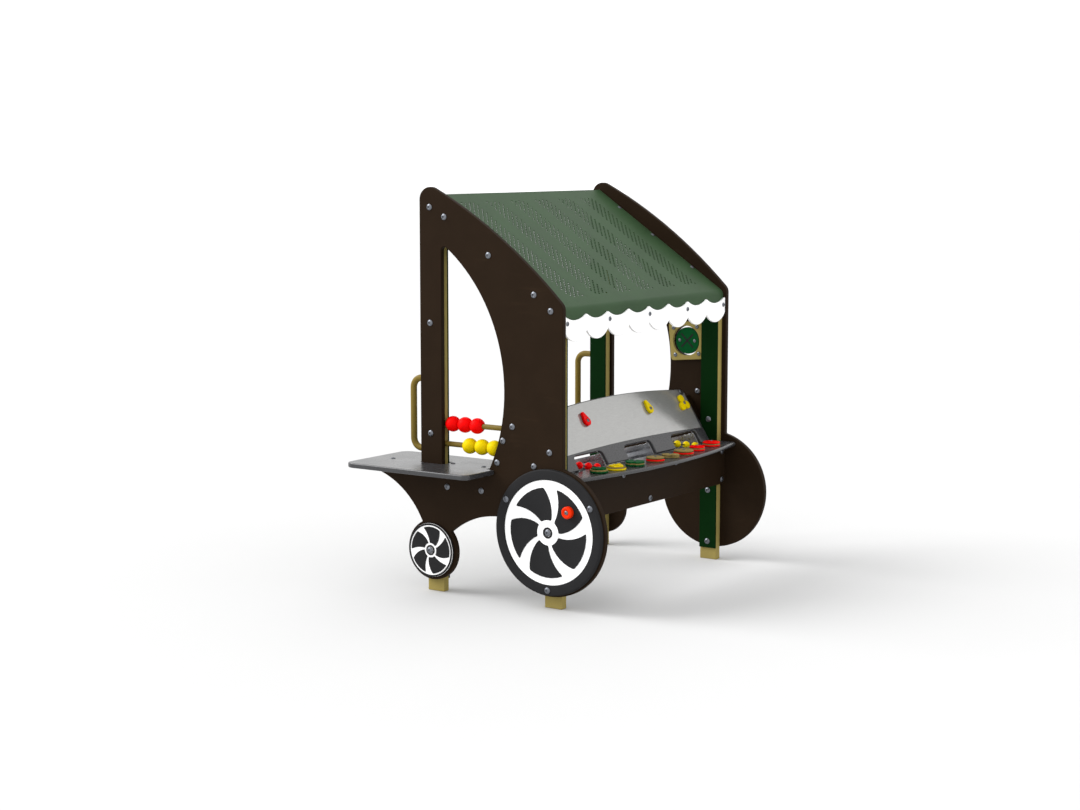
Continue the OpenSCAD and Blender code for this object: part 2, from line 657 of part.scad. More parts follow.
// and of those that hold the abacus block and the table's rail
table_heads = [[221, deck_z + 136], [176, deck_z + 194], [248, deck_z + 49],
    [490, deck_z - 68], [324, deck_z - 68]];
flange = [75, 287, 499];
module frame_bolts() color(steel) placed() {
    for (s = [-1, 1]) {
        for (p = post_heads) on_x(s, [s*half_w, p[0], p[1]]) head();
        for (y = flange) on_x(s, [s*half_w, y, roof_z(y) - 28]) head();
        for (a = [30, 150, 270])
            on_x(s, [s*(half_w + tyre_t), (tyre_d/2 - 20.5)*cos(a),
                big_z + (tyre_d/2 - 20.5)*sin(a)]) head();
        // inner ends on the facings
        for (z = [foot_h + 28, big_z, deck_z + 108])
            on_x(-s, [s*face_in, 0, z]) head();
    }
    for (p = table_heads) on_x(-1, [-half_w, p[0], p[1]]) head();
    on_x(-1, [in_x, 78, deck_z + 219]) head();
    for (y = [103, 300, 470], s = [-1, 1])
        translate([s*(in_x - 13), y, roof_z(y)])
        rotate([roof_pitch, 0, 0]) head(10, 4);
    for (i = [-2 : 2]) on_front([i*(in_x - 16)/2, skirt_y - valance_t,
        val_z - 30]) head(9, 5);
    for (x = [-post_x + 9, 0, post_x - 9])
        on_front([x, apron_y, apron_z + 20]) head();
    for (x = [-post_x + 9, -200, 200, post_x - 9])
        on_front([x, apron_y, counter_h - 41]) head();
    for (s = [-1, 1]) on_board()
        translate([s*(board_x - 42), board_h - 38, 0]) head(9, 4);
    for (p = [[-half_w + panel_t/2, rear_y + 150], [-post_x, 490],
        [-post_x, 340]]) translate([p[0], p[1], table_z]) head(10, 3);
    on_x(-1, [in_x - plate_t, spin_y, spin_z]) rotate(spin_lean)
        for (y = [-58, 58], z = [-58, 58]) translate([z, y, 0]) head(9, 4);
}

panel_near();
panel_far();
post_front_near();
post_front_far();
post_rear_near();
post_rear_far();
post_facings();
roof_sheet();
valance();
apron();
counter();
display_board();
display_sheet();
board_cleats();
trays();
tray_wires();
side_table();
table_rail();
abacus_block();
abacus_rods();
handle_near();
handle_far();
tyre_near();
tyre_far();
axle_bolts();
frame_bolts();
pivot_bolts();
food_pins();
spinner_plate();
spinner_rod();
wheel_near();
wheel_far();
blades_near();
blades_far();
knob_near();
knob_far();
small_wheel_near();
small_wheel_far();
turner_red();
turner_yellow();
turner_trio();
spinner_disc();
bead_red_1();
bead_red_2();
bead_red_3();
bead_yellow_1();
bead_yellow_2();
bead_yellow_3();
food_lettuce();
food_cheese();
food_pepper();
food_burger();
food_bean();
food_sandwich();
food_tomato();
food_apple();
balls_red();
balls_yellow();
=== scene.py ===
"""Looks of a playground market-stall play cart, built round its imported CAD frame.

Every size is in metres. X runs across the cart, -Y is the serving front and Z is up.
"""

from __future__ import annotations

import json
import logging
import math
from collections.abc import Callable, Iterable, Sequence
from dataclasses import dataclass, field
from enum import Enum

import bmesh
import bpy
from mathutils import Matrix, Vector
from mathutils.geometry import delaunay_2d_cdt

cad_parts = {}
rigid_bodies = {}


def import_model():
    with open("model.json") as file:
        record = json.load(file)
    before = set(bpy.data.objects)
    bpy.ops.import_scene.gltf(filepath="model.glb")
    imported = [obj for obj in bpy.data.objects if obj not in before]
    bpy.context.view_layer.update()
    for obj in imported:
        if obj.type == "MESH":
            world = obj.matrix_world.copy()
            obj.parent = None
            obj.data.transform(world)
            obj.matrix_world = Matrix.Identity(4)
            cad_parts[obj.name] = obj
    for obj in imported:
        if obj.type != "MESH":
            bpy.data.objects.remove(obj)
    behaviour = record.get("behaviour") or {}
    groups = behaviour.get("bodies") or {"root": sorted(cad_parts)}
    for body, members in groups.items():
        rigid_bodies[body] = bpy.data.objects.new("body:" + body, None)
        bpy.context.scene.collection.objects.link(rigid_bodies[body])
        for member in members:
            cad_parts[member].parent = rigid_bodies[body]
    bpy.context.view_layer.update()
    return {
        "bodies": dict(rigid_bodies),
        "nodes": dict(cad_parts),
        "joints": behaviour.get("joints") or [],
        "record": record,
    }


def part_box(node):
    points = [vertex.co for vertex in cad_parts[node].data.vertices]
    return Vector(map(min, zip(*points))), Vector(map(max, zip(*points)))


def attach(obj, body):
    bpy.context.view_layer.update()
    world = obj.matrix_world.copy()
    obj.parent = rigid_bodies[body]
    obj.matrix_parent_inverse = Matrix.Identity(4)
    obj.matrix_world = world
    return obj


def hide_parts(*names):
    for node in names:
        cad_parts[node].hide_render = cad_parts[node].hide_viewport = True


log = logging.getLogger("market_cart")
MM = 0.001
Point = tuple[float, float]
Colour = tuple[float, float, float, float]


def tint(code: str) -> Colour:
    """Turns a hex colour into linear light.

    Args:
        code: Six hex digits.

    Returns:
        Red, green, blue and an alpha of 1.
    """
    shares = [int(code[i : i + 2], 16) / 255 for i in (0, 2, 4)]
    linear = [s / 12.92 if s <= 0.04045 else ((s + 0.055) / 1.055) ** 2.4 for s in shares]
    return (linear[0], linear[1], linear[2], 1.0)


class Value:
    """A number in a material, whose sums and products add Math nodes."""

    def __init__(self, graph: Graph, socket: bpy.types.NodeSocket) -> None:
        """Wraps a socket.

        Args:
            graph: The material's graph.
            socket: The output that carries the number.
        """
        self.graph = graph
        self.socket = socket

    def math(self, operation: str, other: Value | float, swap: bool = False) -> Value:
        """Adds a Math node.

        Args:
            operation: The node's operation.
            other: The second term.
            swap: Whether the second term comes first.

        Returns:
            The result.
        """
        terms = {0: other, 1: self} if swap else {0: self, 1: other}
        node = self.graph.node("ShaderNodeMath", {"operation": operation}, terms)
        return Value(self.graph, node.outputs[0])

    def __add__(self, other: Value | float) -> Value:
        """Adds."""
        return self.math("ADD", other)

    def __radd__(self, other: float) -> Value:
        """Adds to a number."""
        return self.math("ADD", other, True)

    def __sub__(self, other: Value | float) -> Value:
        """Subtracts."""
        return self.math("SUBTRACT", other)

    def __rsub__(self, other: float) -> Value:
        """Subtracts from a number."""
        return self.math("SUBTRACT", other, True)

    def __mul__(self, other: Value | float) -> Value:
        """Multiplies."""
        return self.math("MULTIPLY", other)

    def __rmul__(self, other: float) -> Value:
        """Multiplies a number."""
        return self.math("MULTIPLY", other, True)

    def __pow__(self, other: float) -> Value:
        """Raises to a power."""
        return self.math("POWER", other)

    def step(self, low: float, high: float) -> Value:
        """Rises smoothly from 0 at low to 1 at high.

        Args:
            low: Where the rise starts.
            high: Where it ends.

        Returns:
            The risen value.
        """
        node = self.graph.node(
            "ShaderNodeMapRange",
            {"interpolation_type": "SMOOTHSTEP"},
            {"Value": self, "From Min": low, "From Max": high},
        )
        return Value(self.graph, node.outputs[0])


class Graph:
    """The node tree of one material, with a Principled shader at its end."""

    def __init__(self, name: str) -> None:
        """Starts a material.

        Args:
            name: The material's name.
        """
        self.material = bpy.data.materials.new(name)
        self.material.use_nodes = True
        self.tree = self.material.node_tree
        self.tree.nodes.clear()
        self.shader = self.node("ShaderNodeBsdfPrincipled", {}, {})
        self.node("ShaderNodeOutputMaterial", {}, {"Surface": self.shader.outputs[0]})
        self.place = self.node("ShaderNodeTexCoord", {}, {}).outputs["Object"]

    def node(self, kind: str, settings: dict[str, object], inputs: dict) -> bpy.types.Node:
        """Adds a node.

        Args:
            kind: The node's type.
            settings: Its own settings, set first.
            inputs: Numbers, values or sockets by input name or place.

        Returns:
            The node.
        """
        node = self.tree.nodes.new(kind)
        for key, setting in settings.items():
            setattr(node, key, setting)
        for key, given in inputs.items():
            source = given.socket if isinstance(given, Value) else given
            if isinstance(source, bpy.types.NodeSocket):
                self.tree.links.new(source, node.inputs[key])
            else:
                node.inputs[key].default_value = source
        return node

    def noise(self, size: float, detail: float = 2, stretch: Sequence[float] = (1, 1, 1)) -> Value:
        """Adds a noise pattern.

        Args:
            size: The size of its spots, in metres.
            detail: How many finer layers it has.
            stretch: How much finer it is along each axis.

        Returns:
            The pattern, from 0 to 1.
        """
        place = self.node("ShaderNodeMapping", {}, {"Vector": self.place, "Scale": stretch})
        inputs = {"Vector": place.outputs[0], "Scale": 1 / size, "Detail": detail}
        return Value(self, self.node("ShaderNodeTexNoise", {}, inputs).outputs[0])

    def mix(self, share: Value, first: object, second: object) -> bpy.types.NodeSocket:
        """Mixes two colours.

        Args:
            share: The share of the second colour.
            first: A colour or a socket.
            second: A colour or a socket.

        Returns:
            The mixed colour's socket.
        """
        inputs = {0: share, 6: first, 7: second}
        return self.node("ShaderNodeMix", {"data_type": "RGBA"}, inputs).outputs[2]

    def relief(self, layers: Iterable[tuple[Value, float]]) -> None:
        """Adds one bump after another to the shader's normal.

        Args:
            layers: Each pattern with its height in metres.
        """
        normal: dict[str, object] = {}
        for pattern, height in layers:
            bump = self.node("ShaderNodeBump", {}, {"Height": pattern, "Distance": height, **normal})
            normal = {"Normal": bump.outputs[0]}
        self.tree.links.new(normal["Normal"], self.shader.inputs["Normal"])

    def dress(self, **inputs: object) -> bpy.types.Material:
        """Sets the shader's inputs, with _ for a space in their names.

        Args:
            inputs: Numbers, colours, values or sockets.

        Returns:
            The finished material.
        """
        for key, given in inputs.items():
            socket = self.shader.inputs[key.replace("_", " ")]
            source = given.socket if isinstance(given, Value) else given
            if isinstance(source, bpy.types.NodeSocket):
                self.tree.links.new(source, socket)
            else:
                socket.default_value = source
        return self.material


def lighter(colour: Colour, share: float) -> Colour:
    """Scales a colour's light.

    Args:
        colour: The colour.
        share: The factor.

    Returns:
        The scaled colour.
    """
    return (colour[0] * share, colour[1] * share, colour[2] * share, 1.0)


@dataclass(frozen=True)
class Finish:
    """What a surface is made of: its name, its slot in the record and its colour."""

    name: str
    slot: str
    code: str
    roughness: float = 0.5

    def build(self) -> bpy.types.Material:
        """Makes the material."""
        raise NotImplementedError


@dataclass(frozen=True)
class BoardFinish(Finish):
    """Solid plastic board with a fine pebbled skin, faint mottling and light scuffs."""

    pebble: float = 1.1 * MM
    height: float = 0.05 * MM
    scuff: float = 0.35
    gloss: float = 0.03

    def build(self) -> bpy.types.Material:
        """Makes the board's material."""
        graph = Graph(self.name)
        colour = tint(self.code)
        cloud = graph.noise(0.11, 4)
        speck = graph.noise(2.5 * MM, 2).step(0.46, 0.62)
        marks = graph.noise(0.03, 5, (1, 0.16, 1)).step(0.61, 0.73) * graph.noise(0.3, 2).step(0.42, 0.6)
        marks = marks * self.scuff
        base = graph.mix(cloud.step(0.3, 0.7), lighter(colour, 0.93), lighter(colour, 1.06))
        base = graph.mix(speck * 0.35, base, lighter(colour, 1.15))
        base = graph.mix(marks, base, lighter(colour, 1.5))
        graph.relief(
            [
                (graph.noise(self.pebble, 2), self.height),
                (graph.noise(14 * MM, 2), self.height * 1.2),
                (marks, 0.04 * MM),
            ]
        )
        rough = self.roughness + (cloud - 0.5) * 0.12 + marks * 0.2 - speck * 0.04
        return graph.dress(Base_Color=base, Roughness=rough, Specular_IOR_Level=self.gloss)


@dataclass(frozen=True)
class CoatFinish(Finish):
    """Powder-coated metal with orange peel, fine dust and a thin clear gloss."""

    coat: float = 0.25
    coat_roughness: float = 0.25
    gloss: float = 0.07

    def build(self) -> bpy.types.Material:
        """Makes the coating's material."""
        graph = Graph(self.name)
        colour = tint(self.code)
        cloud = graph.noise(0.16, 4)
        dust = graph.noise(9 * MM, 5).step(0.5, 0.78)
        base = graph.mix(cloud.step(0.32, 0.68), lighter(colour, 0.92), lighter(colour, 1.08))
        base = graph.mix(dust * 0.16, base, lighter(colour, 1.5))
        peel = graph.noise(3.2 * MM, 2)
        graph.relief([(peel, 0.05 * MM), (graph.noise(0.8 * MM, 1), 0.008 * MM)])
        rough = self.roughness + (cloud - 0.5) * 0.1 + dust * 0.1
        return graph.dress(
            Base_Color=base,
            Roughness=rough,
            Specular_IOR_Level=self.gloss,
            Coat_Weight=self.coat + (peel - 0.5) * 0.1,
            Coat_Roughness=self.coat_roughness,
        )


@dataclass(frozen=True)
class BrushedFinish(Finish):
    """Metal with a brushed grain along one axis and faint handling marks."""

    metal: float = 1.0
    grain: tuple[float, float, float] = (0.03, 1.0, 1.0)
    height: float = 0.012 * MM

    def build(self) -> bpy.types.Material:
        """Makes the metal's material."""
        graph = Graph(self.name)
        colour = tint(self.code)
        lines = graph.noise(0.7 * MM, 3, self.grain)
        cloud = graph.noise(0.07, 4)
        marks = graph.noise(0.02, 5).step(0.58, 0.75)
        base = graph.mix(lines.step(0.3, 0.7), lighter(colour, 0.88), lighter(colour, 1.08))
        base = graph.mix(marks * 0.2, base, lighter(colour, 0.8))
        graph.relief([(lines, self.height), (cloud, 0.1 * MM)])
        rough = self.roughness + (lines - 0.5) * 0.14 + (cloud - 0.5) * 0.12 + marks * 0.06
        return graph.dress(Base_Color=base, Metallic=self.metal, Roughness=rough)


@dataclass(frozen=True)
class MouldedFinish(Finish):
    """Moulded plastic, smooth or stippled, with painted shade in the stipple's pits and small wear marks."""

    stipple: float = 0.9 * MM
    height: float = 0.03 * MM
    coat: float = 0.03
    gloss: float = 0.05

    def build(self) -> bpy.types.Material:
        """Makes the plastic's material."""
        graph = Graph(self.name)
        colour = tint(self.code)
        cloud = graph.noise(0.03, 3)
        pits_and_pit_shade = graph.noise(self.stipple, 2)
        marks = graph.noise(5 * MM, 5, (1, 0.3, 1)).step(0.62, 0.78)
        base = graph.mix(cloud.step(0.3, 0.7), lighter(colour, 0.93), lighter(colour, 1.04))
        # Painted shade: the low spots of the stipple's bump pattern are painted about a fifth darker, as if
        # shaded inside their pits.
        base = graph.mix(pits_and_pit_shade.step(0.35, 0.52), lighter(colour, 0.8), base)
        base = graph.mix(marks * 0.15, base, lighter(colour, 1.3))
        graph.relief([(pits_and_pit_shade, self.height), (cloud, 0.1 * MM)])
        rough = self.roughness + (pits_and_pit_shade - 0.5) * 0.12 + marks * 0.12
        return graph.dress(
            Base_Color=base,
            Roughness=rough,
            Specular_IOR_Level=self.gloss,
            Coat_Weight=self.coat + marks * 0.05,
        )


class Look(Enum):
    """The finishes of the cart."""

    BROWN = BoardFinish("brown_board", "brown_panel", "251B12", 0.5)
    TAN = BoardFinish("tan_post_board", "tan_post", "95864E", 0.55)
    FOOD_TAN = BoardFinish("tan_food_board", "food_tan", "857446", 0.55, scuff=0.2)
    FACING = BoardFinish("dark_green_board", "dark_green", "07240A", 0.5, gloss=0.02)
    FOOD_GREEN = BoardFinish("green_food_board", "food_green", "064A22", 0.42, scuff=0.2)
    GREY = BoardFinish("grey_board", "grey_plank", "333335", 0.29, gloss=0.5)
    WHITE = BoardFinish("white_scallop_board", "white_board", "FAFAFA", 0.5, scuff=0.05)
    DISC = BoardFinish("white_disc_board", "white_disc", "FCFCFC", 0.42, scuff=0.05, gloss=0.3)
    BLACK = BoardFinish("black_board", "black_disc", "272728", 0.45)
    ROOF = CoatFinish("green_roof_coat", "roof_green", "334930", 0.42, coat=0.03)
    TUBE = CoatFinish("tan_tube_coat", "tan_tube", "74622A", 0.45, coat=0.05)
    SHEET = BrushedFinish("satin_light_sheet", "light_sheet", "A9A9A7", 0.17, metal=0.55, height=0.003 * MM)
    STEEL = BrushedFinish("folded_stainless", "stainless", "B4B5B8", 0.24)
    BOLT = BrushedFinish("button_head_steel", "stainless", "72757B", 0.4, grain=(1.0, 1.0, 1.0))
    RED = MouldedFinish("red_moulding", "red", "EA0303", 0.4)
    RED_BEAD = MouldedFinish("red_bead_moulding", "red", "F00202", 0.45, 2.2 * MM, 0.12 * MM, 0.0)
    ORANGE = MouldedFinish("red_knob_moulding", "red", "E82E02", 0.42)
    YELLOW = MouldedFinish("yellow_moulding", "yellow", "DFC402", 0.4)
    YELLOW_BEAD = MouldedFinish("yellow_bead_moulding", "yellow", "E2C601", 0.45, 2.2 * MM, 0.12 * MM, 0.0)


@dataclass
class Button:
    """Where one button head sits: its middle on the face, its outward axis and its radius."""

    middle: Vector
    axis: Vector
    radius: float
    height: float


class Workshop:
    """Makes pieces, dresses them and hangs them on the frame's bodies."""

    def __init__(self, frame: dict) -> None:
        """Keeps the frame.
        """
        self.frame = frame
        self.made: dict[Look, bpy.types.Material] = {}
        self.body_of = {
            node: body for body, nodes in frame["record"]["behaviour"]["bodies"].items() for node in nodes
        }

    def material(self, look: Look) -> bpy.types.Material:
        """Gives a finish's material, made once."""
        if look not in self.made:
            self.made[look] = look.value.build()
        return self.made[look]

    def carry(self, node: str, look: Look) -> None:
        """Dresses a CAD node whose shape stays.

        Args:
            node: The node's name.
            look: Its finish.
        """
        mesh = self.frame["nodes"][node].data
        mesh.materials.clear()
        mesh.materials.append(self.material(look))
        log.info("dressed %s", node)

    def piece(
        self,
        name: str,
        form: bmesh.types.BMesh,
        look: Look,
        body: str,
        stands_for: Sequence[str] = (),
        edge: float = 0.0,
        steps: int = 3,
    ) -> bpy.types.Object:
        """Turns a form into a finished piece on a body.

        Args:
            name: The piece's name.
            form: Its mesh in progress, which is freed.
            look: Its finish.
            body: The body that it rides on.
            stands_for: The CAD nodes that it replaces.
            edge: The radius of its rounded edges, or 0.
            steps: The strips across a rounded edge.

        Returns:
            The piece.
        """
        bmesh.ops.recalc_face_normals(form, faces=form.faces)
        mesh = bpy.data.meshes.new(name)
        form.to_mesh(mesh)
        form.free()
        obj = bpy.data.objects.new(name, mesh)
        bpy.context.scene.collection.objects.link(obj)
        for face in mesh.polygons:
            face.use_smooth = True
        if edge:
            self.round_edges(obj, edge, steps)
        else:
            mesh.set_sharp_from_angle(angle=math.radians(38))
        obj.data.materials.append(self.material(look))
        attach(obj, body)
        if stands_for:
            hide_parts(*stands_for)
        log.info("made %s", name)
        return obj

    def round_edges(self, obj: bpy.types.Object, edge: float, steps: int) -> None:
        """Rounds an object's sharp edges and keeps its flat faces flat.

        Args:
            obj: The object, whose mesh is replaced.
            edge: The radius.
            steps: The strips across the edge.
        """
        bevel = obj.modifiers.new("rounding", "BEVEL")
        bevel.width = edge
        bevel.segments = steps
        bevel.limit_method = "ANGLE"
        bevel.angle_limit = math.radians(32)
        bevel.use_clamp_overlap = False
        bevel.harden_normals = True
        bevel.miter_outer = "MITER_ARC"
        flat = obj.modifiers.new("flat_faces", "WEIGHTED_NORMAL")
        flat.mode = "FACE_AREA"
        flat.weight = 100
        bpy.context.view_layer.update()
        shaped = obj.evaluated_get(bpy.context.evaluated_depsgraph_get())
        mesh = bpy.data.meshes.new_from_object(shaped)
        obj.modifiers.clear()
        obj.data = mesh

    def soften(
        self,
        node: str,
        look: Look,
        edge: float,
        corner: float = 0.0,
        axis: Vector | None = None,
    ) -> bpy.types.Object:
        """Copies a CAD node with rounded edges and puts the copy in its place.

        Args:
            node: The node's name.
            look: Its finish.
            edge: The radius of its edges.
            corner: The radius of its corners seen along the axis, or 0.
            axis: The direction of the corner edges.

        Returns:
            The piece.
        """
        form = self.welded(node)
        if corner and axis:
            sharp = [
                e
                for e in form.edges
                if e.is_manifold
                and e.calc_face_angle() > math.radians(35)
                and abs((e.verts[0].co - e.verts[1].co).normalized().dot(axis)) > 0.99
            ]
            bmesh.ops.bevel(
                form, geom=sharp, offset=corner, offset_type="OFFSET", segments=5, profile=0.5,
                affect="EDGES", clamp_overlap=False,
            )
        return self.piece(f"{node}_board", form, look, self.body_of[node], [node], edge)

    def welded(self, node: str) -> bmesh.types.BMesh:
        """Gives a CAD node's mesh with its seams closed and its flat faces merged.

        Args:
            node: The node's name.

        Returns:
            The mesh in progress.
        """
        form = bmesh.new()
        form.from_mesh(self.frame["nodes"][node].data)
        bmesh.ops.remove_doubles(form, verts=form.verts, dist=0.02 * MM)
        bmesh.ops.dissolve_limit(form, angle_limit=math.radians(0.4), verts=form.verts, edges=form.edges)
        return form

    def buttons(self, node: str) -> list[Button]:
        """Reads the button heads of a CAD node from its separate solids.

        Args:
            node: The node's name.

        Returns:
            The heads, in the order of their place across the cart.
        """
        form = self.welded(node)
        left = set(form.verts)
        found = []
        while left:
            island = {left.pop()}
            edge = list(island)
            while edge:
                for link in edge.pop().link_edges:
                    for vert in link.verts:
                        if vert in left:
                            left.discard(vert)
                            island.add(vert)
                            edge.append(vert)
            found.append(self.button_of(island))
        form.free()
        return sorted(found, key=lambda b: (round(b.middle.x, 4), round(b.middle.y, 4), b.middle.z))

    @staticmethod
    def button_of(island: set[bmesh.types.BMVert]) -> Button:
        """Finds a head's base, axis and size.

        Args:
            island: The vertices of one solid.

        Returns:
            The head; a pin with a head has the pin's foot as its middle.
        """
        faces = {face for vert in island for face in vert.link_faces}
        areas: dict[tuple[float, ...], float] = {}
        for face in faces:
            key = tuple(round(c, 2) for c in face.normal)
            areas[key] = areas.get(key, 0) + face.calc_area()
        axis = -Vector(max(areas, key=areas.get)).normalized()
        centre = sum((v.co for v in island), Vector()) / len(island)
        along = [(v.co - centre).dot(axis) for v in island]
        across = [((v.co - centre) - axis * (v.co - centre).dot(axis)).length for v in island]
        middle = centre + axis * min(along)
        return Button(middle, axis, max(across), max(along) - min(along))


def facing(middle: Vector, axis: Vector, up: Vector | None = None) -> Matrix:
    """Gives the frame whose Z is an axis.

    Args:
        middle: The origin.
        axis: The direction of Z.
        up: The direction that X leans to.

    Returns:
        The frame's matrix.
    """
    z = axis.normalized()
    x = up or (Vector((0, 0, 1)) if abs(z.z) < 0.9 else Vector((0, 1, 0)))
    x = (x - z * x.dot(z)).normalized()
    y = z.cross(x)
    return Matrix.Translation(middle) @ Matrix((x, y, z)).transposed().to_4x4()


def lathe(
    form: bmesh.types.BMesh,
    profile: Sequence[Point],
    place: Matrix,
    steps: int = 48,
    stretch: Callable[[int, float], float] | None = None,
) -> None:
    """Turns a profile of radius and height about Z, closed where the radius is 0.

    Args:
        form: The mesh that it is added to.
        profile: Points from the foot to the top.
        place: The frame of its axis.
        steps: The number of sides.
        stretch: Gives the factor of a ring's radius from the ring's place and the angle.
    """
    rings: list[list[bmesh.types.BMVert]] = []
    for index, (radius, height) in enumerate(profile):
        if radius == 0:
            rings.append([form.verts.new(place @ Vector((0, 0, height)))])
            continue
        ring = []
        for k in range(steps):
            angle = math.tau * k / steps
            reach = radius * (stretch(index, angle) if stretch else 1)
            spot = Vector((reach * math.cos(angle), reach * math.sin(angle), height))
            ring.append(form.verts.new(place @ spot))
        rings.append(ring)
    for low, high in zip(rings, rings[1:]):
        for k in range(steps):
            step = k + 1
            corners = [low[k % len(low)], low[step % len(low)], high[step % len(high)], high[k % len(high)]]
            form.faces.new(list(dict.fromkeys(corners)))
    for ring in (rings[0], rings[-1]):
        if len(ring) > 1 and profile[0] != profile[-1]:
            form.faces.new(ring)
    if profile[0] == profile[-1]:
        bmesh.ops.remove_doubles(form, verts=rings[0] + rings[-1], dist=0.01 * MM)


def prism(form: bmesh.types.BMesh, outline: Sequence[Point], low: float, high: float, place: Matrix) -> None:
    """Adds an upright slab with an outline.

    Args:
        form: The mesh that it is added to.
        outline: The outline's points, in order.
        low: The height of its underside.
        high: The height of its top.
        place: Its frame.
    """
    foot = [form.verts.new(place @ Vector((x, y, low))) for x, y in outline]
    top = [form.verts.new(place @ Vector((x, y, high))) for x, y in outline]
    form.faces.new(foot)
    form.faces.new(top)
    for k in range(len(outline)):
        after = (k + 1) % len(outline)
        form.faces.new([foot[k], foot[after], top[after], top[k]])


def fillet(outline: Sequence[Point], radius: float, steps: int = 5) -> list[Point]:
    """Rounds an outline's sharp corners.

    Args:
        outline: The outline's points.
        radius: The corners' radius.
        steps: The parts of each rounded corner.

    Returns:
        The rounded outline.
    """
    points = [Vector(p) for p in outline]
    rounded: list[Point] = []
    for k, corner in enumerate(points):
        before = (points[k - 1] - corner).normalized()
        after = (points[(k + 1) % len(points)] - corner).normalized()
        turn = math.pi - before.angle(after)
        if turn < math.radians(24):
            rounded.append(tuple(corner))
            continue
        reach = radius * math.tan(turn / 2)
        start = corner + before * reach
        end = corner + after * reach
        for i in range(steps + 1):
            t = i / steps
            point = start * (1 - t) ** 2 + corner * 2 * t * (1 - t) + end * t**2
            rounded.append(tuple(point))
    return rounded


def circle(radius: float, steps: int = 64, middle: Point = (0.0, 0.0)) -> list[Point]:
    """Gives a round outline.

    Args:
        radius: Its radius.
        steps: Its number of points.
        middle: Its middle.

    Returns:
        The points.
    """
    turns = [math.tau * k / steps for k in range(steps)]
    return [(middle[0] + radius * math.cos(t), middle[1] + radius * math.sin(t)) for t in turns]


@dataclass
class Boards:
    """The boards, posts and planks, whose edges are rounded over."""

    shop: Workshop
    edge: float = 3 * MM

    def build(self) -> None:
        """Makes the boards."""
        plain = {
            Look.BROWN: ["panel_near", "panel_far", "apron", "board_cleats", "table_rail"],
            Look.TAN: ["post_front_near", "post_front_far", "post_rear_near", "post_rear_far",
                       "abacus_block", "spinner_plate"],
            Look.FACING: ["post_facings"],
        }
        for look, nodes in plain.items():
            for node in nodes:
                self.shop.soften(node, look, self.edge * (0.6 if node == "post_facings" else 1))
        for node in ("counter", "side_table", "display_board"):
            self.shop.soften(node, Look.GREY, 5 * MM)
        self.shop.soften("valance", Look.WHITE, 2 * MM)
        self.shop.carry("display_sheet", Look.SHEET)


